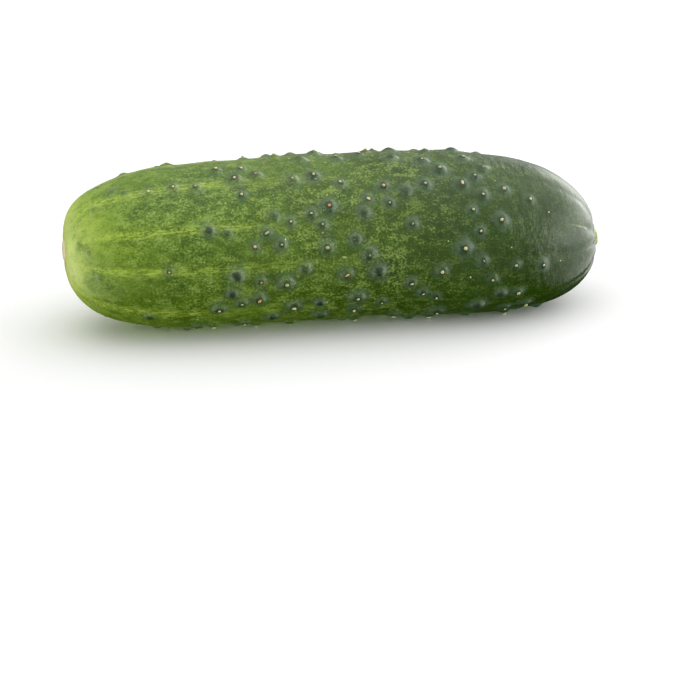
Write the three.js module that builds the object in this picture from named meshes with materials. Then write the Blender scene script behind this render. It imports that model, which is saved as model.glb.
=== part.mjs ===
// A short pickling cucumber, lying on its side as picked. It grew as one piece, so it is one closed solid:
// the smooth fruit, with its warts, furrows and the scars of its two ends raised from the skin or pressed
// into it by formulas.
//
// Millimetres, +Z up. The blossom end points along -X and the stem end along +X. The fruit rests on z = 0,
// where its own weight flattens the skin a little, and the origin lies under the middle of its box.

import * as THREE from "three";
import { ConvexHull } from "three/addons/math/ConvexHull.js";

const { lerp, smoothstep, clamp } = THREE.MathUtils;

// Driving dimensions
const LENGTH = 120.5;
const RADIUS = 18.5; // of the round section at the thickest place
// How each end closes. Fullness is how far it stays thick, where 2 is an ellipse's taper. Bluntness is how
// squarely it ends, where 2 is round like an egg.
const BLOSSOM_END = { fullness: 4.8, bluntness: 2.9 };
const STEM_END = { fullness: 4.95, bluntness: 2.1 };
const REST_FLAT_DEPTH = 0.3; // how far the skin gives way where the fruit rests

// The middle line's bends
const BLOSSOM_LIFT = 0.9; // the blossom end curls up
const BLOSSOM_LIFT_SHARE = 0.12; // over this share of the length
const STEM_DROOP = 3.4; // and the stem end down
const STEM_DROOP_SHARE = 0.5;
const SIDE_BOW = 1.3; // the middle bows towards +Y

// Three seed chambers make the section a little three-sided, with a flat side down and a ridge on top.
const CHAMBERS = 3;
const CHAMBER_SHARE = 0.014;

// Pale veins run from end to end in shallow furrows, which deepen as they close in on the stem.
const VEINS = 11;
const VEIN_TURN = 0.27; // radians from +Y to the first one
const VEIN_SWAY = 0.09; // radians that a vein is off its even place
const FURROW_WIDTH = 1.1;
const FURROW_DEPTH = 0.1;
const STEM_FURROW_DEPTH = 0.5;
const STEM_FURROW_REACH = 17; // from the stem scar's middle, along the skin

// Where the flower and the stem came off
const BLOSSOM_SCAR = { radius: 2.5, rise: 0.4, dimple: 0.3, dimpleRadius: 6 };
const STEM_SCAR = { radius: 2.2, rise: 0.75, dimple: 0.5, dimpleRadius: 6 };
const SCAR_EDGE = 0.7; // width of a scar's sloping rim

// The skin is never quite even: shallow waves run over it, each with its length along the fruit and a whole
// number of crests about it. A minus sign slants the crests the other way.
const WAVES = [
  { length: 31, crests: 2, lag: 0.6, depth: 0.14 },
  { length: 17, crests: -3, lag: 2.1, depth: 0.09 },
  { length: 11, crests: 5, lag: 4.4, depth: 0.05 },
];

// Warts, each on a low skirt of skin, with the foot of a shed spine on its tip
const WARTS = 236;
const WART_TRIES = 40000;
const WART_RADIUS = { least: 1.2, most: 2 };
const WART_HEIGHT = { least: 0.4, most: 0.8 };
const WART_GAP = 0.3; // of skin between the feet of two warts
const FIRST_WART_REACH = 11; // from the blossom scar's middle, along the skin
const SKIRT = { radius: 2.2, height: 0.25 }; // in shares of its wart's
const SPINE_FOOT = { radius: 0.5, rise: 0.15 };

// The net of triangles
const MERIDIAN_STEPS = 900;
const SKIN_POINTS = 1700;
const WART_RINGS = [
  { share: 0.22, points: 4 },
  { share: 0.58, points: 6 },
  { share: 1, points: 8 },
];
const SCAR_RINGS = [
  { from: 1.1, points: 6 },
  { from: 2.0, points: 9 },
  { from: 2.9, points: 12 },
  { from: 4.4, points: 14 },
];
const CLEAR_OF_WART = 1.3; // no plain skin point comes nearer than this many wart radii

// The same pseudo-random draws on every run, from 0 to 1
let seed = 42827;
function draw() {
  seed = (seed * 16807) % 2147483647;
  return seed / 2147483647;
}

// The half outline from the blossom end to the stem end in small steps, each with its distance along the
// skin, the skin's area so far, and the Mercator distance, in which a small circle on the skin stays round.
const meridian = [];
for (let i = 1; i < MERIDIAN_STEPS; i++) {
  const turn = (Math.PI * i) / MERIDIAN_STEPS;
  const c = Math.cos(turn);
  const end = c > 0 ? BLOSSOM_END : STEM_END;
  const x = (-Math.sign(c) * LENGTH * Math.abs(c) ** (2 / end.fullness)) / 2;
  const r = RADIUS * Math.sin(turn) ** (2 / end.bluntness);
  const last = meridian.at(-1) ?? { x: -LENGTH / 2, r: 0, reach: 0, area: 0, mercator: 0 };
  const step = Math.hypot(x - last.x, r - last.r);
  const middle = (r + last.r) / 2;
  meridian.push({
    x,
    r,
    reach: last.reach + step,
    area: last.area + 2 * Math.PI * middle * step,
    mercator: last.mercator + step / middle,
    outX: -(r - last.r) / step,
    outR: (x - last.x) / step,
  });
}
const FULL_REACH = meridian.at(-1).reach + meridian.at(-1).r;
const FULL_AREA = meridian.at(-1).area;
const MIDDLE_MERCATOR = meridian[MERIDIAN_STEPS / 2].mercator;

// The outline's values where its `key`, a value that only grows, reaches `value`
function outlineAt(key, value) {
  const found = meridian.findIndex((m) => m[key] >= value);
  const next = found < 0 ? meridian.length - 1 : Math.max(found, 1);
  const [a, b] = [meridian[next - 1], meridian[next]];
  const share = clamp((value - a[key]) / (b[key] - a[key]), 0, 1);
  return Object.fromEntries(Object.keys(a).map((k) => [k, lerp(a[k], b[k], share)]));
}

// Veins, each at its angle about the fruit: 0 is towards +Y, and a quarter turn is the top.
const veins = Array.from({ length: VEINS }, (_, i) => {
  return VEIN_TURN + (2 * Math.PI * i) / VEINS + VEIN_SWAY * (2 * draw() - 1);
});

// The middle line's sideways and upward place at a station along the fruit
function middleAt(x) {
  const t = x / LENGTH + 0.5;
  const lift = BLOSSOM_LIFT * Math.max(0, 1 - t / BLOSSOM_LIFT_SHARE) ** 2;
  const droop = STEM_DROOP * Math.max(0, (t - 1) / STEM_DROOP_SHARE + 1) ** 2;
  return { y: SIDE_BOW * Math.sin(Math.PI * t), z: lift - droop };
}

// A point of the smooth fruit and the way out of the skin there
function smoothSkin(m, around) {
  const r = m.r * (1 - CHAMBER_SHARE * Math.cos(CHAMBERS * (around + Math.PI / 2)));
  const middle = middleAt(m.x);
  return {
    ...m,
    around,
    point: new THREE.Vector3(m.x, middle.y + r * Math.cos(around), middle.z + r * Math.sin(around)),
    out: new THREE.Vector3(m.outX, m.outR * Math.cos(around), m.outR * Math.sin(around)),
  };
}

function furrowAt(place) {
  const fromStem = FULL_REACH - place.reach;
  const depth = lerp(STEM_FURROW_DEPTH, FURROW_DEPTH, smoothstep(fromStem, 0, STEM_FURROW_REACH));
  const fade = smoothstep(fromStem, STEM_SCAR.radius, 2 * STEM_SCAR.radius) * smoothstep(place.reach, 2, 9);
  const nearness = veins.reduce((most, vein) => {
    const off = Math.abs(THREE.MathUtils.euclideanModulo(place.around - vein + Math.PI, 2 * Math.PI) - Math.PI);
    return Math.max(most, Math.exp(-(((off * place.r) / FURROW_WIDTH) ** 2)));
  }, 0);
  return -depth * fade * nearness;
}

function scarAt(fromPole, scar) {
  const dish = Math.max(0, 1 - (fromPole / scar.dimpleRadius) ** 2) ** 2;
  const pad = 1 - smoothstep(fromPole, scar.radius - SCAR_EDGE, scar.radius);
  return scar.rise * pad - scar.dimple * dish;
}

function waveAt(place) {
  const wave = WAVES.reduce((sum, { length, crests, lag, depth }) => {
    return sum + depth * Math.sin((2 * Math.PI * place.x) / length + crests * place.around + lag);
  }, 0);
  return (wave * place.r) / RADIUS;
}

// How far the warts raise a point: their skirts add up, and the highest round-topped dome stands on them,
// with the spine's foot on its tip.
function wartRiseAt(point, warts) {
  let skirts = 0;
  let highest = 0;
  for (const wart of warts) {
    const d = point.distanceTo(wart.point);
    const dome = Math.max(0, 1 - (d / wart.radius) ** 2) ** 1.2;
    const foot = Math.max(0, 1 - (d / SPINE_FOOT.radius) ** 2);
    highest = Math.max(highest, wart.height * dome + SPINE_FOOT.rise * foot);
    skirts += SKIRT.height * wart.height * Math.max(0, 1 - (d / (SKIRT.radius * wart.radius)) ** 2) ** 2;
  }
  return skirts + highest;
}

// Warts crowd the middle and the stem half, thin out and shrink towards the blossom end, and leave the
// stem end bare. Each is drawn at random, and kept where its foot is clear of the others.
const warts = [];
for (let i = 0; i < WART_TRIES && warts.length < WARTS; i++) {
  const share = draw();
  const around = 2 * Math.PI * draw();
  const crowding = lerp(0.2, 1, smoothstep(share, 0.1, 0.5)) * (1 - smoothstep(share, 0.72, 0.86));
  const size = draw();
  const kept = draw() < crowding;
  const radius = lerp(WART_RADIUS.least, WART_RADIUS.most, size) * lerp(0.75, 1, smoothstep(share, 0.05, 0.4));
  const height = lerp(WART_HEIGHT.least, WART_HEIGHT.most, size) * lerp(0.45, 1, smoothstep(share, 0.05, 0.35));
  const place = smoothSkin(outlineAt("reach", share * FULL_REACH), around);
  const clear = warts.every((w) => w.point.distanceTo(place.point) > w.radius + radius + WART_GAP);
  if (kept && clear && place.reach > FIRST_WART_REACH) warts.push({ ...place, radius, height });
}

// Points for the net: the two poles, rings round the scars and the warts' tips, and plain skin between them,
// which a golden-angle spiral with equal areas spreads evenly.
const places = [];
for (const ring of SCAR_RINGS)
  for (const reach of [ring.from, FULL_REACH - ring.from])
    for (let i = 0; i < ring.points; i++)
      places.push(smoothSkin(outlineAt("reach", reach), (2 * Math.PI * (i + 0.37 * ring.from)) / ring.points));
for (const wart of warts)
  for (const ring of WART_RINGS)
    for (let i = 0; i < ring.points; i++) {
      const turn = (2 * Math.PI * (i + ring.share)) / ring.points;
      const reach = wart.reach + wart.radius * ring.share * Math.cos(turn);
      const around = wart.around + (wart.radius * ring.share * Math.sin(turn)) / wart.r;
      places.push(smoothSkin(outlineAt("reach", reach), around));
    }
const GOLDEN_ANGLE = Math.PI * (3 - Math.sqrt(5));
for (let i = 0; i < SKIN_POINTS; i++) {
  const place = smoothSkin(outlineAt("area", (FULL_AREA * (i + 0.5)) / SKIN_POINTS), i * GOLDEN_ANGLE);
  const fromScar = Math.min(place.reach, FULL_REACH - place.reach);
  const clearOfWarts = warts.every((w) => w.point.distanceTo(place.point) > CLEAR_OF_WART * w.radius);
  if (clearOfWarts && fromScar > SCAR_RINGS.at(-1).from + 1) places.push(place);
}

// The net itself. Laid on a unit sphere by their Mercator distance, the points keep every angle they make
// on the skin, so the sphere's convex hull joins near neighbours into well-shaped triangles.
const onSphere = places.map((place) => {
  const latitude = Math.atan(Math.sinh(place.mercator - MIDDLE_MERCATOR));
  return new THREE.Vector3(
    Math.sin(latitude),
    Math.cos(latitude) * Math.cos(place.around),
    Math.cos(latitude) * Math.sin(place.around),
  );
});
const blossomPole = { ...meridian[0], r: 0, reach: 0, outX: -1, outR: 0 };
const stemPole = { ...meridian.at(-1), r: 0, reach: FULL_REACH, outX: 1, outR: 0 };
for (const pole of [blossomPole, stemPole]) {
  places.push(smoothSkin({ ...pole, x: (pole.outX * LENGTH) / 2 }, 0));
  onSphere.push(new THREE.Vector3(pole.outX, 0, 0));
}
const numberOf = new Map(onSphere.map((point, i) => [point, i]));
const triangles = [];
for (const face of new ConvexHull().setFromPoints(onSphere).faces) {
  triangles.push(numberOf.get(face.edge.tail().point));
  triangles.push(numberOf.get(face.edge.head().point));
  triangles.push(numberOf.get(face.edge.next.head().point));
}

// Each point goes to its place on the finished skin, and what would reach below the surface is pressed flat.
const floor = -RADIUS * (1 - CHAMBER_SHARE) + REST_FLAT_DEPTH;
const skin = places.map((place) => {
  const wartRise = wartRiseAt(place.point, warts);
  const scarRise = scarAt(place.reach, BLOSSOM_SCAR) + scarAt(FULL_REACH - place.reach, STEM_SCAR);
  const rise = wartRise + scarRise + furrowAt(place) + waveAt(place);
  const point = place.point.clone().addScaledVector(place.out, rise);
  point.z = Math.max(point.z, floor);
  return point;
});
const geometry = new THREE.BufferGeometry().setFromPoints(skin);
geometry.setIndex(triangles);
geometry.computeBoundingBox();
const middle = geometry.boundingBox.getCenter(new THREE.Vector3());
geometry.translate(-middle.x, -middle.y, -geometry.boundingBox.min.z);
geometry.computeVertexNormals();

const waxySkin = new THREE.MeshStandardMaterial({ color: 0x5b7f2c, roughness: 0.42, metalness: 0 });
const cucumber = new THREE.Mesh(geometry, waxySkin);
cucumber.name = "cucumber";

const fruit = new THREE.Group();
fruit.add(cucumber);

export default fruit;
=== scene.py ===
# %% [markdown]
# A short pickling cucumber, lying on its side on a pale floor.
#
# The CAD part already has the true form: the fruit's outline, its bent middle line, its warts and the scars
# of its two ends. This lesson gives it the looks. It grows a fine skin by the same formulas, sets the pale
# feet of the shed spines on the warts, and paints the skin with procedural materials.

# %% Load the CAD part
import math

import bmesh
import bpy
import numpy as np
from mathutils import Matrix, Vector, noise


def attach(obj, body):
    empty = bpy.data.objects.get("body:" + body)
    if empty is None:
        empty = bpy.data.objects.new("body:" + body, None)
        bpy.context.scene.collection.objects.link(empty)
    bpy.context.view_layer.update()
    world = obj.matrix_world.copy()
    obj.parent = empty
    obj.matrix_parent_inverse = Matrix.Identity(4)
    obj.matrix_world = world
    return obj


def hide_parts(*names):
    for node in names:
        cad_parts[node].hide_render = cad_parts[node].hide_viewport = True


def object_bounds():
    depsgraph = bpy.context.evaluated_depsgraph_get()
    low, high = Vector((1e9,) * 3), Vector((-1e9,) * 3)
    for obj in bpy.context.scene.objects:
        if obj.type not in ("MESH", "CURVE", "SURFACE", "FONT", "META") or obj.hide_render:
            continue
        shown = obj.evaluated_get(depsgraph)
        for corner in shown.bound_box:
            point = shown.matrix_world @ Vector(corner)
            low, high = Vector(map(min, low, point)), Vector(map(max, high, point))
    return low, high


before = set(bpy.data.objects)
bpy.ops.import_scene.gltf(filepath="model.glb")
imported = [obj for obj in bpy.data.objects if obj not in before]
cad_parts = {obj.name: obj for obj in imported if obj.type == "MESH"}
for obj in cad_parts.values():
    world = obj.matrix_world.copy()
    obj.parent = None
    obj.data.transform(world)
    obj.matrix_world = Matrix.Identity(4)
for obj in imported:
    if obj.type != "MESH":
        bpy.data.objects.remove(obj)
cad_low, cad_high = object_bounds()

MM = 0.001
print("CAD box in millimetres:", [round(side / MM, 1) for side in cad_high - cad_low])

# %% [markdown]
# The camera. The photograph was taken with a long lens, a little from above and from the blossom end's
# side, so the fruit shows almost no perspective. A camera could be placed by eye, but the box that the
# fruit fills in the photograph says where it looks and how long its lens is. The script sees the CAD part
# from the camera's direction, measures the box that it fills, and lays the one on the other.

# %% Camera
PICTURE = 700  # pixels, both ways
# The pixels between which the fruit lies in the photograph
FRUIT_LEFT = 62.5
FRUIT_RIGHT = 597.5
FRUIT_TOP = 147.2
FRUIT_BOTTOM = 329.9
AZIMUTH = math.radians(-7.8)
ELEVATION = math.radians(20)
ROLL = math.radians(-0.65)
DISTANCE = 0.95  # metres from the fruit's middle

fruit_centre = (cad_low + cad_high) / 2
level = math.cos(ELEVATION)
back = Vector((math.sin(AZIMUTH) * level, -math.cos(AZIMUTH) * level, math.sin(ELEVATION)))
rolled = Matrix.Rotation(ROLL, 3, "Z").to_quaternion()
turn = back.to_track_quat("Z", "Y") @ rolled
right = turn @ Vector((1, 0, 0))
up = turn @ Vector((0, 1, 0))

cad_points = np.array([vert.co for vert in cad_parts["cucumber"].data.vertices]) - fruit_centre
nearness = 1 - cad_points @ back / DISTANCE
across = cad_points @ right / nearness
upward = cad_points @ up / nearness
pixel = (across.max() - across.min()) / (FRUIT_RIGHT - FRUIT_LEFT)
to_right = PICTURE / 2 - (FRUIT_LEFT + FRUIT_RIGHT) / 2
to_top = (FRUIT_TOP + FRUIT_BOTTOM) / 2 - PICTURE / 2
aim = fruit_centre + right * ((across.max() + across.min()) / 2 + pixel * to_right)
aim += up * ((upward.max() + upward.min()) / 2 + pixel * to_top)

camera_data = bpy.data.cameras.new("camera")
camera = bpy.data.objects.new("camera", camera_data)
bpy.context.scene.collection.objects.link(camera)
bpy.context.scene.camera = camera
camera.location = fruit_centre + back * DISTANCE
camera.rotation_euler = ((camera.location - aim).to_track_quat("Z", "Y") @ rolled).to_euler()
camera_data.lens = camera_data.sensor_width * DISTANCE / (pixel * PICTURE)
print(f"A pixel is {pixel / MM:.3f} mm at the fruit, and the lens is {camera_data.lens:.0f} mm long.")

# %% [markdown]
# The outline. Half the fruit's outline is a curve from the blossom end to the stem end, and the rest of the
# shape hangs on it. It could be a curve object drawn by hand, but the CAD part is made from a formula, a
# quarter of a superellipse for each end, so the same formula here gives the same form. The curve is kept
# as a table of small steps, each with its distance along the skin, which is called its reach.

# %% Outline, in millimetres
LENGTH = 120.5
RADIUS = 18.5
# How each end closes. Fullness is how far it stays thick, where 2 is an ellipse's taper. Bluntness is how
# squarely it ends, where 2 is round like an egg.
BLOSSOM_END = {"fullness": 4.8, "bluntness": 2.9}
STEM_END = {"fullness": 4.95, "bluntness": 2.1}
STEPS = 900

half_turn = np.pi * np.arange(1, STEPS) / STEPS
c = np.cos(half_turn)
fullness = np.where(c > 0, BLOSSOM_END["fullness"], STEM_END["fullness"])
bluntness = np.where(c > 0, BLOSSOM_END["bluntness"], STEM_END["bluntness"])
outline_x = -np.sign(c) * LENGTH * np.abs(c) ** (2 / fullness) / 2
outline_r = RADIUS * np.sin(half_turn) ** (2 / bluntness)
step_x = np.diff(outline_x, prepend=-LENGTH / 2)
step_r = np.diff(outline_r, prepend=0)
step = np.hypot(step_x, step_r)
outline_reach = np.cumsum(step)
FULL_REACH = outline_reach[-1] + outline_r[-1]
print(f"From end to end it is {FULL_REACH:.1f} mm along the skin.")


# %% [markdown]
# The smooth fruit. A real cucumber isn't straight: the blossom end curls up a little, the stem end droops,
# and the middle bows to one side. Its section isn't quite round either, because it holds three seed
# chambers. A lattice or a curve modifier could bend a straight body, but the warts have to follow the same
# bend, so one function gives any point of the smooth skin and the way out of it.

# %% Smooth skin
BLOSSOM_LIFT = 0.9
BLOSSOM_LIFT_SHARE = 0.12  # of the length
STEM_DROOP = 3.4
STEM_DROOP_SHARE = 0.5
SIDE_BOW = 1.3
CHAMBERS = 3
CHAMBER_SHARE = 0.014  # of the radius

pole_to_pole = {
    "reach": np.concatenate([[0], outline_reach, [FULL_REACH]]),
    "x": np.concatenate([[-LENGTH / 2], outline_x, [LENGTH / 2]]),
    "r": np.concatenate([[0], outline_r, [0]]),
    "out_x": np.concatenate([[-1], -step_r / step, [1]]),
    "out_r": np.concatenate([[0], step_x / step, [0]]),
}


def along_outline(reach, key):
    """The outline's value of that name at a reach"""
    return np.interp(reach, pole_to_pole["reach"], pole_to_pole[key])


def smooth_skin(reach, around):
    """Points of the smooth fruit, and the way out of the skin there. The angle 0 is towards +Y."""
    x = along_outline(reach, "x")
    r = along_outline(reach, "r") * (1 - CHAMBER_SHARE * np.cos(CHAMBERS * (around + np.pi / 2)))
    t = x / LENGTH + 0.5
    lift = BLOSSOM_LIFT * np.maximum(0, 1 - t / BLOSSOM_LIFT_SHARE) ** 2
    droop = STEM_DROOP * np.maximum(0, (t - 1) / STEM_DROOP_SHARE + 1) ** 2
    middle_y = SIDE_BOW * np.sin(np.pi * t)
    points = np.stack([x, middle_y + r * np.cos(around), lift - droop + r * np.sin(around)], -1)
    out_r = along_outline(reach, "out_r")
    outs = np.stack([along_outline(reach, "out_x"), out_r * np.cos(around), out_r * np.sin(around)], -1)
    return points, outs


def smoothstep(value, low, high):
    """0 below low, 1 above high, and a soft slope between them"""
    share = np.clip((value - low) / (high - low), 0, 1)
    return share * share * (3 - 2 * share)


def lerp(first, second, share):
    """The value that lies that share of the way from the first to the second"""
    return first + (second - first) * share


# %% [markdown]
# Veins and warts. Pale veins run from end to end, and warts crowd the middle and the stem half. They could
# be scattered with a particle system, but the CAD part already has each wart in its place. Its places come
# from a row of pseudo-random draws, and the same row here gives the same veins and the same warts.

# %% Draws
WART_RADIUS = (1.2, 2)  # the least and the most
WART_HEIGHT = (0.4, 0.8)
WART_GAP = 0.3  # of skin between the feet of two warts
WARTS = 236
WART_TRIES = 40000
FIRST_WART_REACH = 11
SEED = 42827
VEINS = 11
VEIN_TURN = 0.27  # radians from +Y to the first one
VEIN_SWAY = 0.09  # radians that a vein is off its even place


def park_miller(seed):
    """The same draws from 0 to 1 on every run"""
    while True:
        seed = seed * 16807 % 2147483647
        yield seed / 2147483647


draws = park_miller(SEED)
veins = VEIN_TURN + 2 * np.pi * np.arange(VEINS) / VEINS
veins += VEIN_SWAY * np.array([2 * next(draws) - 1 for _ in veins])

# Warts crowd the middle and the stem half, thin out and shrink towards the blossom end, and leave the
# stem end bare. Each is kept where its foot is clear of the others.
warts = []
for _ in range(WART_TRIES):
    share, around, size, chance = next(draws), 2 * np.pi * next(draws), next(draws), next(draws)
    crowding = lerp(0.2, 1, smoothstep(share, 0.1, 0.5)) * (1 - smoothstep(share, 0.72, 0.86))
    radius = lerp(*WART_RADIUS, size) * lerp(0.75, 1, smoothstep(share, 0.05, 0.4))
    height = lerp(*WART_HEIGHT, size) * lerp(0.45, 1, smoothstep(share, 0.05, 0.35))
    reach = share * FULL_REACH
    if chance >= crowding or reach <= FIRST_WART_REACH:
        continue
    point, out = smooth_skin(reach, around)
    clear = all(np.linalg.norm(w["point"] - point) > w["radius"] + radius + WART_GAP for w in warts)
    if clear:
        warts.append({"reach": reach, "point": point, "out": out, "radius": radius, "height": height})
    if len(warts) == WARTS:
        break
print(len(warts), "warts, the first at", np.round(warts[0]["point"], 2))

# %% [markdown]
# The skin's net. The fruit is close to a turned shape, so its half outline is spun round the long axis. This
# gives even rows of four-sided faces and a clean pole at each end. A subdivided cube would have no poles,
# but its faces would run across the veins. Each vertex keeps its reach in a layer, so that it can be found
# on the smooth skin again.

# %% Spin the half outline
MIDDLE_RINGS = 230
END_ZONE = 6  # at each end, where the rings lie closer for the scars
END_RINGS = 32
ROUND_STEPS = 180

net = bmesh.new()
reach_layer = net.verts.layers.float.new("reach")
end_reaches = np.linspace(0, END_ZONE, END_RINGS, endpoint=False)
middle_reaches = np.linspace(END_ZONE, FULL_REACH - END_ZONE, MIDDLE_RINGS)
reaches = np.concatenate([end_reaches, middle_reaches, FULL_REACH - end_reaches[::-1]])
half_outline = []
for reach in reaches:
    vert = net.verts.new((along_outline(reach, "x"), 0, along_outline(reach, "r")))
    vert[reach_layer] = reach
    half_outline.append(vert)
edges = [net.edges.new(pair) for pair in zip(half_outline, half_outline[1:])]
bmesh.ops.spin(
    net,
    geom=half_outline + edges,
    cent=(0, 0, 0),
    axis=(1, 0, 0),
    angle=2 * math.pi,
    steps=ROUND_STEPS,
    use_merge=True,
)
bmesh.ops.remove_doubles(net, verts=net.verts, dist=1e-5)
bmesh.ops.recalc_face_normals(net, faces=net.faces)
print("The spun net has", len(net.faces), "faces.")

# %% [markdown]
# The smallest warts are only about four faces across, too few for a round dome. A finer net all over would be
# heavy, so only the faces on a wart, or within a little of it, are cut in four.

# %% Cut the faces on the warts finer
WART_ZONE = 1.15  # in wart radii
wart_points = np.array([wart["point"] for wart in warts])
wart_radii = np.array([wart["radius"] for wart in warts])
wart_heights = np.array([wart["height"] for wart in warts])


def skin_places(net):
    """Every vertex's reach and angle, and the smooth skin there"""
    reach = np.array([vert[reach_layer] for vert in net.verts])
    around = np.array([math.atan2(vert.co.z, vert.co.y) for vert in net.verts])
    points, outs = smooth_skin(reach, around)
    return reach, around, points, outs


def nearest_wart(points):
    """The number of each point's nearest wart, and the distance to it in wart radii"""
    nearest = np.zeros(len(points), int)
    least = np.full(len(points), np.inf)
    for number in range(len(warts)):
        share = np.linalg.norm(points - wart_points[number], axis=1) / wart_radii[number]
        nearest[share < least] = number
        least = np.minimum(least, share)
    return nearest, least


net.verts.index_update()
_, _, points, _ = skin_places(net)
_, wart_share = nearest_wart(points)
on_wart = wart_share < WART_ZONE
fine_edges = [e for e in net.edges if on_wart[e.verts[0].index] and on_wart[e.verts[1].index]]
bmesh.ops.subdivide_edges(net, edges=fine_edges, cuts=1, use_grid_fill=True)
print("With finer warts it has", len(net.faces), "faces.")

# %% [markdown]
# Raising the skin. Warts, furrows, slow waves and the scars of the two ends are all small heights above or
# below the smooth skin. Each is a short formula over the whole net, and the heights add up. Sculpting by
# hand would do the same, but formulas stay where the CAD part has them.

# %% Heights of the skin
WAVES = [
    {"length": 31, "crests": 2, "lag": 0.6, "depth": 0.14},
    {"length": 17, "crests": -3, "lag": 2.1, "depth": 0.09},
    {"length": 11, "crests": 5, "lag": 4.4, "depth": 0.05},
]
SKIRT = {"radius": 2.2, "height": 0.25}  # in shares of its wart's
FURROW_WIDTH = 1.1
FURROW_DEPTH = 0.1
STEM_FURROW_DEPTH = 0.5
STEM_FURROW_REACH = 17  # from the stem scar's middle
BLOSSOM_SCAR = {"radius": 2.5, "rise": 0.4, "dimple": 0.3, "dimple_radius": 6}
STEM_SCAR = {"radius": 2.2, "rise": 0.75, "dimple": 0.5, "dimple_radius": 6}
SCAR_EDGE = 0.7  # width of a scar's sloping rim


def wart_rise(points, wobble):
    """How far the warts raise each point: skirts add up, and the highest dome stands on them."""
    skirts = np.zeros(len(points))
    highest = np.zeros(len(points))
    for point, radius, height in zip(wart_points, wart_radii, wart_heights):
        away = np.linalg.norm(points - point, axis=1)
        dome = np.maximum(0, 1 - (away * wobble / radius) ** 2) ** 1.2
        highest = np.maximum(highest, height * dome)
        skirt = np.maximum(0, 1 - (away / (SKIRT["radius"] * radius)) ** 2) ** 2
        skirts += SKIRT["height"] * height * skirt
    return skirts + highest


def vein_offset(around):
    """The signed angle from the nearest vein"""
    off = (around[:, None] - veins + np.pi) % (2 * np.pi) - np.pi
    nearest = np.abs(off).argmin(axis=1)
    return off[np.arange(len(off)), nearest]


def furrow(reach, around):
    """The shallow groove along each vein, deeper where the veins close in on the stem"""
    from_stem = FULL_REACH - reach
    depth = lerp(STEM_FURROW_DEPTH, FURROW_DEPTH, smoothstep(from_stem, 0, STEM_FURROW_REACH))
    fade = smoothstep(from_stem, STEM_SCAR["radius"], 2 * STEM_SCAR["radius"]) * smoothstep(reach, 2, 9)
    off = vein_offset(around) * along_outline(reach, "r")
    return -depth * fade * np.exp(-((off / FURROW_WIDTH) ** 2))


def wave(reach, around):
    """Slow waves over the whole skin, none at the poles"""
    x = along_outline(reach, "x")
    total = 0
    for w in WAVES:
        total = total + w["depth"] * np.sin(2 * np.pi * x / w["length"] + w["crests"] * around + w["lag"])
    return total * along_outline(reach, "r") / RADIUS


def scar(from_pole, size):
    """A low pad in a wide dish"""
    dish = np.maximum(0, 1 - (from_pole / size["dimple_radius"]) ** 2) ** 2
    pad = 1 - smoothstep(from_pole, size["radius"] - SCAR_EDGE, size["radius"])
    return size["rise"] * pad - size["dimple"] * dish


# %% [markdown]
# Two things are added that are too fine for the CAD part: the warts aren't quite round, and the skin between
# them is faintly dimpled. A displacement modifier could do that, but the noise is added to the other heights
# here, so every vertex moves once. What would reach below the floor is pressed flat, and the whole skin is
# moved to the place where the CAD part stands.

# %% Raise the skin
REST_FLAT_DEPTH = 0.3
WOBBLE_SIZE = 1.6
WOBBLE_SHARE = 0.16  # of a wart's radius
DIMPLE_SIZE = 2.6
DIMPLE_DEPTH = 0.035
FINE_SIZE = 0.9
FINE_DEPTH = 0.01


def noise_at(points, size):
    """Blender's own noise, from about -1 to 1, with bumps of that size in millimetres"""
    return np.array([noise.noise(Vector(point) / size) for point in points])


reach, around, points, outs = skin_places(net)
wobble = 1 + WOBBLE_SHARE * noise_at(points, WOBBLE_SIZE)
rise = wart_rise(points, wobble) + furrow(reach, around) + wave(reach, around)
rise += scar(reach, BLOSSOM_SCAR) + scar(FULL_REACH - reach, STEM_SCAR)
rise += DIMPLE_DEPTH * noise_at(points, DIMPLE_SIZE) + FINE_DEPTH * noise_at(points, FINE_SIZE)
skin_points = points + outs * rise[:, None]
ground = -RADIUS * (1 - CHAMBER_SHARE) + REST_FLAT_DEPTH
skin_points[:, 2] = np.maximum(skin_points[:, 2], ground)

low = skin_points.min(axis=0)
high = skin_points.max(axis=0)
cad_centre = np.array((cad_low + cad_high) / 2) / MM
to_cad = cad_centre - (low + high) / 2
to_cad[2] = cad_low.z / MM - low[2]
for vert, point in zip(net.verts, skin_points + to_cad):
    vert.co = point
print("The skin's box is", np.round(high - low, 2), "mm.")
print("It was moved by", np.round(to_cad, 3), "mm to the CAD part's place.")

# %% [markdown]
# What the skin's colours need to know. The material will ask of each point how far it is from the blossom
# end, from the nearest wart and from the nearest vein. A shader can't work these out from coordinates, so
# each is kept as an attribute of the mesh. The place between two veins is kept as a sine and a cosine,
# because an angle would jump from its end back to its start within one face.


# %% Attributes of the skin
def keep(mesh, name, values):
    """Keeps one number at each vertex, for the material to read"""
    attribute = mesh.attributes.new(name, "FLOAT", "POINT")
    attribute.data.foreach_set("value", np.asarray(values, np.float32))


def vein_phase(around):
    """The place between two neighbouring veins as an angle: 0 at either vein and half a turn midway"""
    order = np.sort(veins % (2 * np.pi))
    turned = (around - order[0]) % (2 * np.pi)
    edges = np.append(order - order[0], 2 * np.pi)
    return 2 * np.pi * np.interp(turned, edges, np.arange(VEINS + 1))


WART_FAR = 4  # radii, past which a wart no longer colours the skin
wart_number, wart_share = nearest_wart(points)
wart_tones = np.array([next(draws) for _ in warts])

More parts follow.
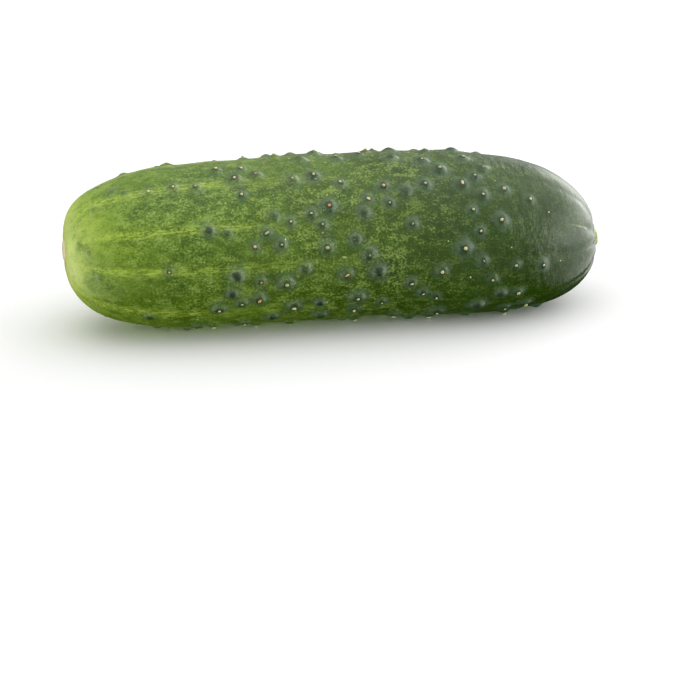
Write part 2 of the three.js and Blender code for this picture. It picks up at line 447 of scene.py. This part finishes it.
for face in net.faces:
    face.smooth = True
bmesh.ops.scale(net, vec=(MM, MM, MM), verts=net.verts)
skin_mesh = bpy.data.meshes.new("cucumber_skin")
net.to_mesh(skin_mesh)
net.free()
skin_mesh.attributes.remove(skin_mesh.attributes["reach"])
keep(skin_mesh, "reach", reach)
keep(skin_mesh, "wart", np.minimum(wart_share, WART_FAR))
keep(skin_mesh, "wart_tone", wart_tones[wart_number])
keep(skin_mesh, "girth", along_outline(reach, "r"))
keep(skin_mesh, "vein_cos", np.cos(vein_phase(around)))
keep(skin_mesh, "vein_sin", np.sin(vein_phase(around)))
cucumber_skin = bpy.data.objects.new("cucumber_skin", skin_mesh)
bpy.context.scene.collection.objects.link(cucumber_skin)
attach(cucumber_skin, "root")
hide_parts("cucumber")
skin_mesh.calc_loop_triangles()
print("The skin has", len(skin_mesh.loop_triangles), "triangles.")

# %% [markdown]
# Spine feet. A fresh cucumber has a small spine on each wart, and handling rubs them off. What stays is a
# dry, pale foot about a millimetre across. They could be painted, but they stand up from the wart and
# catch the light, so each is a small flattened ball set into a wart's tip. A few smaller ones sit on bare
# skin. They are one piece, and each keeps a tone of its own, from cream to tan.

# %% Spine feet
FOOT_SIDES = 8
FOOT_RINGS = 5
FOOT_RADIUS = (0.22, 0.45)
FOOT_RISE = (0.14, 0.24)
FOOT_STRETCH = 1.45  # at most
FOOT_SINK = 0.03  # of its middle below the skin
BARE_SHARE = 0.12  # of the warts have lost their foot
FIRST_FOOT_REACH = 26
LONE_FEET = 60
LONE_FOOT_RADIUS = (0.14, 0.27)
LONE_FOOT_RISE = 0.09
FIRST_LONE_REACH = 8
LAST_LONE_SHARE = 0.9  # of the whole reach

feet = bmesh.new()
tone_layer = feet.verts.layers.float.new("tone")


def set_foot(point, out, radius, rise):
    """Sets one foot into the skin, a little longer than wide and turned at random"""
    stretch = lerp(1, FOOT_STRETCH, next(draws) ** 2)
    upright = Vector(out).to_track_quat("Z", "Y").to_matrix().to_4x4()
    spun = Matrix.Rotation(math.tau * next(draws), 4, "Z")
    sized = Matrix.Diagonal((radius * stretch, radius / stretch, rise, 1))
    place = Matrix.Translation(Vector(point + to_cad)) @ upright @ spun @ sized
    made = bmesh.ops.create_uvsphere(
        feet,
        u_segments=FOOT_SIDES,
        v_segments=FOOT_RINGS,
        radius=1,
        matrix=Matrix.Scale(MM, 4) @ place,
    )
    tone = next(draws)
    for vert in made["verts"]:
        vert[tone_layer] = tone


tips = wart_rise(wart_points, np.ones(len(warts)))
for wart, tip in zip(warts, tips):
    size = next(draws)
    bare = next(draws) < BARE_SHARE or wart["reach"] < FIRST_FOOT_REACH
    tip_point = wart["point"] + wart["out"] * (tip - FOOT_SINK)
    if tip_point[2] > ground and not bare:
        set_foot(tip_point, wart["out"], lerp(*FOOT_RADIUS, size), lerp(*FOOT_RISE, size))

for _ in range(LONE_FEET):
    lone_reach = np.array([lerp(FIRST_LONE_REACH, LAST_LONE_SHARE * FULL_REACH, next(draws))])
    lone_around = np.array([math.tau * next(draws)])
    point, out = smooth_skin(lone_reach, lone_around)
    heights = wart_rise(point, 1) + furrow(lone_reach, lone_around) + wave(lone_reach, lone_around)
    lone_point = point[0] + out[0] * (heights[0] - FOOT_SINK)
    if lone_point[2] > ground:
        set_foot(lone_point, out[0], lerp(*LONE_FOOT_RADIUS, next(draws)), LONE_FOOT_RISE)

for vert in feet.verts:
    vert.co.z = max(vert.co.z, 0)  # pressed flat by the floor, as the skin is
for face in feet.faces:
    face.smooth = True
feet_mesh = bpy.data.meshes.new("spine_feet")
feet.to_mesh(feet_mesh)
feet.free()
spine_feet = bpy.data.objects.new("spine_feet", feet_mesh)
bpy.context.scene.collection.objects.link(spine_feet)
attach(spine_feet, "root")
print("The spine feet have", len(feet_mesh.polygons), "faces.")

# %% [markdown]
# A short way to write materials. A node tree can be drawn in the editor, but in a script each node takes
# several lines. This small class adds a node, sets or links what goes into it, and gives back what comes
# out, so that the finishes below read like sentences. The studio's light is written with it too.


# %% Node helper
class Finish:
    def __init__(self, owner):
        """Works on the nodes of a material or a world"""
        owner.use_nodes = True
        self.owner = owner
        self.nodes = owner.node_tree.nodes
        self.links = owner.node_tree.links
        self.shader = self.nodes.get("Principled BSDF") or self.nodes.get("Background")

    def put(self, socket, value):
        """Links what another node gives to a socket, or sets a plain value on it"""
        if isinstance(value, bpy.types.NodeSocket):
            self.links.new(value, socket)
        else:
            socket.default_value = value

    def add(self, kind, inputs, output=0, **settings):
        """Adds a node and gives back its output"""
        node = self.nodes.new("ShaderNode" + kind)
        for name, value in settings.items():
            setattr(node, name, value)
        for name, value in inputs.items():
            self.put(node.inputs[name], value)
        return node.outputs[output]

    def attribute(self, name):
        """What the mesh keeps under that name"""
        return self.add("Attribute", {}, output="Fac", attribute_name=name)

    def maths(self, operation, first, second=0.0):
        return self.add("Math", {0: first, 1: second}, operation=operation)

    def product(self, *factors):
        """All the factors multiplied, so that the mask is 1 only where each of them is"""
        total = factors[0]
        for factor in factors[1:]:
            total = self.maths("MULTIPLY", total, factor)
        return total

    def blend(self, share, first, second, how="MIX"):
        """The first colour where the share is 0, and the second where it is 1"""
        return self.add("Mix", {0: share, 6: first, 7: second}, output=2, data_type="RGBA", blend_type=how)

    def coat(self, under, mask, strength, over, how="MIX"):
        """Lays one colour over another where the mask is 1, as thick as the strength says"""
        return self.blend(self.maths("MULTIPLY", mask, strength), under, over, how)

    def span(self, value, low, high, start=0.0, end=1.0):
        """Goes smoothly from start to end as the value goes from low to high"""
        inputs = {"Value": value, "From Min": low, "From Max": high, "To Min": start, "To Max": end}
        return self.add("MapRange", inputs, interpolation_type="SMOOTHSTEP")

    def coordinates(self, stretch=(1, 1, 1), shift=(0, 0, 0)):
        """Object coordinates in millimetres, divided by the stretch"""
        place = self.add("TexCoord", {}, output="Object")
        scale = [1 / (MM * s) for s in stretch]
        return self.add("Mapping", {"Vector": place, "Scale": scale, "Location": shift})

    def noise(self, size, detail=2.0, roughness=0.5, stretch=(1, 1, 1), shift=(0, 0, 0)):
        """A soft noise from 0 to 1 with blotches of that size in millimetres"""
        vector = self.coordinates(stretch, shift)
        inputs = {"Vector": vector, "Scale": 1 / size, "Detail": detail, "Roughness": roughness}
        return self.add("TexNoise", inputs, output="Fac")

    def dots(self, spacing, radius, crowd, stretch=(1, 1, 1), shift=(0, 0, 0)):
        """Round dots at random places, each with a strength of its own. The share in crowd is there."""
        vector = self.coordinates(stretch, shift)
        away = self.add("TexVoronoi", {"Vector": vector, "Scale": 1 / spacing}, output="Distance")
        chance = self.add("SeparateColor", {"Color": away.node.outputs["Color"]}, output="Red")
        dot = self.span(away, radius / spacing, 0.4 * radius / spacing)
        return self.product(dot, self.span(chance, crowd, 0.0))

    def ramp(self, value, stops):
        """A colour for each value, blended between the stops"""
        colour = self.add("ValToRGB", {"Fac": value}, output="Color")
        elements = colour.node.color_ramp.elements
        elements[0].position, elements[0].color = stops[0]
        elements[1].position, elements[1].color = stops[-1]
        for place, tint in stops[1:-1]:
            elements.new(place).color = tint
        return colour


def shade(red, green, blue):
    """A colour as a picture shows it, from 0 to 255, turned into the light that a shader works with"""
    shares = [value / 255 for value in (red, green, blue)]
    return (*[s / 12.92 if s < 0.04045 else ((s + 0.055) / 1.055) ** 2.4 for s in shares], 1)


# %% [markdown]
# The skin's ground colour. The blossom end ripens first and is pale yellow-green, and the stem end stays dark
# green. A picture could be wrapped round the fruit, but a ramp over the reach gives the same run of colour
# with no seam. Soft noise makes the reach wander, so the colours meet in streaks along the fruit and not in
# rings. The stops of the ramp are colours as a picture shows them.

# %% Ground colour
BLOTCH_SHADE = (0.6, 0.64, 0.45, 1)

skin = Finish(bpy.data.materials.new("waxy_skin"))
share = skin.maths("DIVIDE", skin.attribute("reach"), FULL_REACH)
drift = skin.maths("SUBTRACT", skin.noise(9, 3, stretch=(3, 1, 1)), 0.5)
streak = skin.maths("SUBTRACT", skin.noise(1.6, 3, 0.6, stretch=(4, 1, 1)), 0.5)
wandering = skin.maths("ADD", share, skin.maths("MULTIPLY", drift, 0.14))
wandering = skin.maths("ADD", wandering, skin.maths("MULTIPLY", streak, 0.07))
colour = skin.ramp(
    wandering,
    [
        (0.0, shade(184, 200, 106)),
        (0.05, shade(190, 206, 100)),
        (0.08, shade(174, 196, 76)),
        (0.12, shade(126, 158, 36)),
        (0.18, shade(106, 138, 20)),
        (0.26, shade(90, 122, 18)),
        (0.38, shade(84, 114, 15)),
        (0.48, shade(76, 105, 10)),
        (0.60, shade(61, 89, 7)),
        (0.69, shade(48, 76, 4)),
        (0.80, shade(43, 70, 4)),
        (0.88, shade(36, 60, 6)),
        (1.0, shade(32, 52, 9)),
    ],
)
blotch = skin.span(skin.noise(6, 3, stretch=(2.2, 1, 1), shift=(40, 0, 0)), 0.35, 0.7)
colour = skin.coat(colour, blotch, 0.4, BLOTCH_SHADE, "MULTIPLY")
print("The ground colour takes", len(skin.nodes), "nodes.")

# %% [markdown]
# Veins. Eleven pale yellow-green stripes start at the blossom end and fade out round the middle. Each is a
# bundle of thin feathery lines. They could be painted on an unwrapped skin, but the mesh already knows the
# place between two veins as an angle, so a stripe is wherever that angle is small. Noise that is stretched
# along the fruit breaks the stripe into its thin lines.

# %% Veins
phase = skin.maths("ARCTAN2", skin.attribute("vein_sin"), skin.attribute("vein_cos"))
from_vein = skin.maths("ABSOLUTE", phase)
waver = skin.maths("SUBTRACT", skin.noise(5, 2, stretch=(4, 1, 1)), 0.5)
wavering = skin.maths("ABSOLUTE", skin.maths("ADD", phase, skin.maths("MULTIPLY", waver, 0.9)))
vein_fade = skin.span(wandering, 0.55, 0.14)
streaks = skin.span(skin.noise(0.45, 4, 0.65, stretch=(9, 1, 1)), 0.42, 0.62, 0.1, 1.0)
vein_mask = skin.product(skin.span(wavering, 1.0, 0.1), vein_fade, streaks)
colour = skin.coat(colour, vein_mask, 0.95, shade(176, 202, 64))
print("With the veins it takes", len(skin.nodes), "nodes.")

# %% [markdown]
# Grain. From close by, the skin is a fine sand of paler and darker green, strongest in the middle and in
# patches, and almost gone at the dark end. A fine noise alone would look like television snow, so it is
# added to a coarser one, which gathers the grains into small clouds.

# %% Grain
SAND_SIZE = 0.42  # millimetres
CLOUD_SIZE = 1.7
GRAIN_SHADE = (0.45, 0.5, 0.4, 1)

grain_zone = skin.product(
    skin.span(share, 0.04, 0.18, 0.65, 1.0),
    skin.span(share, 0.76, 0.58, 0.28, 1.0),
    skin.span(skin.noise(11, 2, shift=(0, 30, 0)), 0.35, 0.6, 0.65, 1.1),
)
sand = skin.noise(SAND_SIZE, 2, 0.6, stretch=(1.3, 1, 1))
cloud = skin.noise(CLOUD_SIZE, 3, 0.55, stretch=(1.6, 1, 1), shift=(9, 0, 0))
grain = skin.maths("ADD", skin.maths("MULTIPLY", sand, 0.55), skin.maths("MULTIPLY", cloud, 0.45))
dark_grain = skin.product(skin.span(grain, 0.5, 0.4), grain_zone)
pale_grain = skin.product(skin.span(grain, 0.5, 0.6), grain_zone)
colour = skin.coat(colour, dark_grain, 0.85, GRAIN_SHADE, "MULTIPLY")
colour = skin.coat(colour, pale_grain, 0.42, shade(158, 182, 92))
print("With the grain it takes", len(skin.nodes), "nodes.")

# %% [markdown]
# Specks and flecks. Tiny pale dots lie in the grain, drawn out to dashes along the veins, and a few larger
# pale flecks are old scratches. Noise gives soft blobs, but these have clear edges, so they are the middles
# of Voronoi cells.

# %% Specks and flecks
specks = skin.dots(0.55, 0.19, 0.8, stretch=(1.3, 1, 1))
dashes = skin.dots(0.5, 0.2, 1.0, stretch=(4, 1, 1), shift=(0, 0, 5))
dashes = skin.product(dashes, skin.span(wavering, 1.5, 0.6), vein_fade)
specks = skin.maths("MAXIMUM", specks, dashes)
specks = skin.product(specks, grain_zone, skin.span(cloud, 0.35, 0.6, 0.3, 1.0))
colour = skin.coat(colour, specks, 0.8, shade(170, 190, 104))
flecks = skin.dots(4.5, 0.34, 0.45, stretch=(2, 1, 1), shift=(0, 11, 4))
colour = skin.coat(colour, flecks, 0.7, shade(196, 204, 146))
print("With the specks it takes", len(skin.nodes), "nodes.")

# %% [markdown]
# Wart colours. A wart is dark blue-green at its top and sits in a duller, greyer patch of skin with a ragged
# edge.
# That patch is partly waxy bloom and partly painted sheen: the blue-grey of the light that the wart's sloping
# skirt mirrors, laid into the colour. A ring at a fixed distance would look stamped, so a fine and a coarse
# noise shift the distance, and each wart's own tone makes it darker or paler than its neighbours. At the
# blossom end they are faint.

# %% Wart colours
BLOOM_AND_SHEEN_EDGE = (1.65, 1.05)  # wart radii from its middle, where the patch begins and is full
TOP_EDGE = (0.74, 0.3)

wart = skin.attribute("wart")
wart_tone = skin.attribute("wart_tone")
crumble = skin.maths("SUBTRACT", skin.noise(0.5, 3, 0.65, shift=(2, 0, 0)), 0.5)
lobe = skin.maths("SUBTRACT", skin.noise(1.6, 2, shift=(0, 6, 0)), 0.5)
edge = skin.maths("ADD", skin.maths("MULTIPLY", crumble, 1.9), skin.maths("MULTIPLY", lobe, 1.5))
# Painted sheen, partly waxy bloom: a blue-grey patch round each wart that stands in for the light mirrored on
# its skirt.
bloom_and_sheen = skin.product(
    skin.span(skin.maths("ADD", wart, edge), *BLOOM_AND_SHEEN_EDGE),
    skin.span(share, 0.1, 0.5, 0.25, 0.56),
    skin.span(wart_tone, 0.0, 0.6, 0.5, 1.0),
)
colour = skin.blend(bloom_and_sheen, colour, shade(80, 103, 76))
top = skin.product(
    skin.span(skin.maths("ADD", wart, skin.maths("MULTIPLY", edge, 0.5)), *TOP_EDGE),
    skin.span(wart_tone, 0.0, 1.0, 0.5, 0.92),
    skin.span(share, 0.08, 0.3, 0.6, 1.0),
)
colour = skin.blend(top, colour, shade(30, 47, 34))
print("With the warts it takes", len(skin.nodes), "nodes.")

# %% [markdown]
# The two ends. The flower left a pad of beige cork with a brown middle at the blossom end. The stem left a
# small yellow-green stump, and thin, broken, whitish lines run into it along the furrows. The pads stand up
# in the mesh already, so the material only colours them, with a little noise on the distance from the pole.

# %% Scars of the two ends
# Millimetres from the end's middle, where each mark begins and is full
CORK_EDGE = (2.9, 2.3)
CORK_MIDDLE = (1.1, 0.5)
CORK_HALO = (4.4, 2.8)
STUMP_EDGE = (2.6, 1.8)
STEM_LINES = (19, 8)

from_blossom = skin.attribute("reach")
from_stem = skin.maths("SUBTRACT", FULL_REACH, from_blossom)
fray = skin.maths("MULTIPLY", skin.maths("SUBTRACT", skin.noise(1.1, 3), 0.5), 1.6)
frayed = skin.maths("ADD", from_blossom, fray)
cork = skin.blend(skin.noise(0.5, 3, 0.7), shade(176, 154, 110), shade(236, 222, 182))
cork = skin.blend(skin.span(frayed, *CORK_MIDDLE, 0.0, 0.8), cork, shade(132, 92, 52))
colour = skin.coat(colour, skin.span(frayed, *CORK_HALO), 0.35, shade(150, 140, 84))
colour = skin.blend(skin.span(frayed, *CORK_EDGE), colour, cork)
stump = skin.span(skin.maths("ADD", from_stem, fray), *STUMP_EDGE)
colour = skin.coat(colour, stump, 0.9, shade(150, 164, 78))

vein_girth = skin.maths("DIVIDE", skin.attribute("girth"), VEINS)
off_furrow = skin.maths("MULTIPLY", from_vein, vein_girth)
stem_lines = skin.product(
    skin.span(off_furrow, 0.3, 0.08),
    skin.span(from_stem, *STEM_LINES),
    skin.span(skin.noise(1.2, 3, 0.7, shift=(3, 3, 0)), 0.4, 0.6),
    skin.span(skin.noise(7, 2, shift=(0, 8, 3)), 0.4, 0.6, 0.15, 1.0),
)
colour = skin.coat(colour, stem_lines, 0.75, shade(186, 198, 152))
skin.put(skin.shader.inputs["Base Color"], colour)
print("The whole colour takes", len(skin.nodes), "nodes.")

# %% [markdown]
# Gloss. A cucumber wears a thin wax. Most of it is dulled by the grain, but the stem end and the warts are
# smoother and mirror the window. A coat could be laid over the skin, but the wax has no colour or thickness
# that shows, so the roughness alone tells the two apart. Two bumps are too fine for the mesh: the grain's
# own relief, and the wrinkles where the skin draws in towards the stem.

# %% Gloss and fine relief
WAX_IOR = 1.45
DULL_ROUGHNESS = (0.34, 0.46)
STEM_END_ROUGHNESS = 0.22
WART_ROUGHNESS = 0.28
GRAIN_RELIEF = 0.08  # millimetres
WRINKLE_RELIEF = 0.22

dull = skin.span(skin.noise(1.4, 3), 0.3, 0.7, *DULL_ROUGHNESS)
roughness = skin.add("Mix", {0: skin.span(share, 0.7, 0.84), 2: dull, 3: STEM_END_ROUGHNESS})
roughness = skin.add("Mix", {0: skin.span(wart, 1.6, 0.8), 2: roughness, 3: WART_ROUGHNESS})
skin.put(skin.shader.inputs["Roughness"], roughness)
skin.shader.inputs["IOR"].default_value = WAX_IOR

relief = skin.product(skin.noise(0.4, 3), skin.span(share, 0.9, 0.6, 0.3, 1.0))
bump = skin.add("Bump", {"Height": relief, "Strength": 0.8, "Distance": GRAIN_RELIEF * MM})
shoulder = skin.product(skin.span(share, 0.64, 0.74), skin.span(share, 0.9, 0.78, 0.25, 1.0))
wrinkles = skin.noise(1.4, 3, stretch=(1, 1.7, 1.7), shift=(0, 0, 12))
wrinkles = skin.product(wrinkles, skin.maths("ADD", shoulder, 0.35))
creases = {"Height": wrinkles, "Strength": 0.9, "Distance": WRINKLE_RELIEF * MM, "Normal": bump}
bump = skin.add("Bump", creases)
skin.put(skin.shader.inputs["Normal"], bump)
skin_mesh.materials.append(skin.owner)
print("The skin's finish has", len(skin.nodes), "nodes.")

# %% [markdown]
# The spine feet's finish. They are dry, so they are matt. One flat cream would make them look like seeds on a
# bun, so each takes its own colour from its tone: most are cream or greenish, and a few are tan.

# %% Spine foot finish
FOOT_ROUGHNESS = 0.6
DUST_SHADE = (0.6, 0.6, 0.5, 1)

foot = Finish(bpy.data.materials.new("dry_spine_foot"))
foot_ramp = foot.ramp(
    foot.attribute("tone"),
    [
        (0.0, shade(158, 170, 104)),
        (0.6, shade(206, 208, 144)),
        (0.9, shade(222, 204, 136)),
        (1.0, shade(204, 150, 80)),
    ],
)
dust = foot.span(foot.noise(0.3, 2), 0.35, 0.65)
foot_colour = foot.coat(foot_ramp, dust, 0.3, DUST_SHADE, "MULTIPLY")
foot.put(foot.shader.inputs["Base Color"], foot_colour)
foot.shader.inputs["Roughness"].default_value = FOOT_ROUGHNESS
feet_mesh.materials.append(foot.owner)
print("The spine feet's finish has", len(foot.nodes), "nodes.")

# %% [markdown]
# The floor. The fruit lies on plain pale paper, so all that shows of the floor is the soft shadow. A plane
# that is far wider than the view does it. It is kept out of reflections and bounced light, because the
# world below already holds what such a floor gives back, and the dark place under the fruit too.

# %% Floor
FLOOR_SIZE = 8  # metres
FLOOR_PALENESS = 0.9
FLOOR_ROUGHNESS = 0.7

bpy.ops.mesh.primitive_plane_add(size=FLOOR_SIZE)
floor = bpy.context.object
floor.name = "floor"
floor.visible_glossy = False
floor.visible_diffuse = False
floor.visible_shadow = False
paper = Finish(bpy.data.materials.new("pale_paper"))
paper.shader.inputs["Base Color"].default_value = (FLOOR_PALENESS, FLOOR_PALENESS, FLOOR_PALENESS, 1)
paper.shader.inputs["Roughness"].default_value = FLOOR_ROUGHNESS
floor.data.materials.append(paper.owner)
print("The floor is", FLOOR_SIZE, "m wide.")

# %% [markdown]
# The light. The photograph was taken in a white studio. A soft box hangs overhead and gives the broad grey
# highlight along the top. A large soft window on the right mirrors in the stem end, with a wider glow round
# it. White paper on the left throws some light back at the blossom end, and under the fruit it is dark, so
# its lower edge stays deep green. Area lamps could stand in all these places, but each would need a distance
# and would add a hard-edged highlight. The world holds them all: every light in it is a soft patch round a
# direction, as bright from everywhere.

# %% Light
# Each light has the direction of its middle, the cosines of the angles from there at which it begins and is
# full, and its strength.
WINDOW = Vector((0.981, 0.173, 0.087))
WINDOW_EDGE = (math.cos(math.radians(62)), math.cos(math.radians(46)))
WINDOW_LIGHT = 1.5
WINDOW_SILL = (-0.2, 0.02)  # heights between which it fades in
WINDOW_TOP = (0.7, 0.12, 0.25, 1.0)  # two heights, and the share of its light at each
GLOW_EDGE = (math.cos(math.radians(74)), math.cos(math.radians(35)))
GLOW_LIGHT = 1.6
GLOW_TOP = (0.8, 0.1, 0.45, 1.0)
PAPER = Vector((-0.94, 0, -0.34))
PAPER_EDGE = (math.cos(math.radians(62)), math.cos(math.radians(25)))
PAPER_LIGHT = 1.35
# The dome's light at each height from -1, straight below, to 1, straight above
DOME = [(-1, 0), (-0.6, 0.22), (-0.3, 0.38), (0.1, 0.42), (0.4, 0.52), (0.72, 0.78), (0.9, 1.4)]

studio = Finish(bpy.data.worlds.new("studio"))
bpy.context.scene.world = studio.owner
direction = studio.add("TexCoord", {}, output="Generated")
height = studio.add("SeparateXYZ", {"Vector": direction}, output="Z")
half_height = studio.maths("ADD", studio.maths("MULTIPLY", height, 0.5), 0.5)
dome = studio.ramp(half_height, [(z / 2 + 0.5, (light, light, light, 1)) for z, light in DOME])


def closeness(way):
    """The cosine of the angle between each direction and the middle of a light"""
    return studio.add("VectorMath", {0: direction, 1: way}, output="Value", operation="DOT_PRODUCT")


window = studio.product(
    studio.span(closeness(WINDOW), *WINDOW_EDGE, 0.0, WINDOW_LIGHT),
    studio.span(height, *WINDOW_SILL),
    studio.span(height, *WINDOW_TOP),
)
glow = studio.product(
    studio.span(closeness(WINDOW), *GLOW_EDGE, 0.0, GLOW_LIGHT),
    studio.span(height, *GLOW_TOP),
)
paper_light = studio.span(closeness(PAPER), *PAPER_EDGE, 0.0, PAPER_LIGHT)
lights = studio.maths("ADD", studio.maths("ADD", window, glow), paper_light)
studio.put(studio.shader.inputs["Color"], studio.blend(1.0, dome, lights, "ADD"))

# %% [markdown]
# The dark place under the fruit. A real one is the fruit's own shadow, but a floor that is left out of
# bounced light can't give it back. So the world is dark in a cap straight below. The cap reaches a little
# higher behind the fruit, and less high to the sides, where the paper is in the open again.

# %% Dark cap below
DARK_EDGE = (-0.69, -0.6)
DARK_LIGHT = 0.03
CAP_SIDE_SLOPE = 0.4
CAP_BACK_SLOPE = 0.6

sideways = studio.maths("ABSOLUTE", height.node.outputs["X"])
behind = studio.maths("MAXIMUM", height.node.outputs["Y"], 0.0)
lowness = studio.maths("ADD", height, studio.maths("MULTIPLY", sideways, CAP_SIDE_SLOPE))
lowness = studio.maths("SUBTRACT", lowness, studio.maths("MULTIPLY", behind, CAP_BACK_SLOPE))
studio.put(studio.shader.inputs["Strength"], studio.span(lowness, *DARK_EDGE, DARK_LIGHT, 1.0))
bpy.context.scene.view_settings.view_transform = "Standard"
print("The studio's world has", len(studio.nodes), "nodes.")
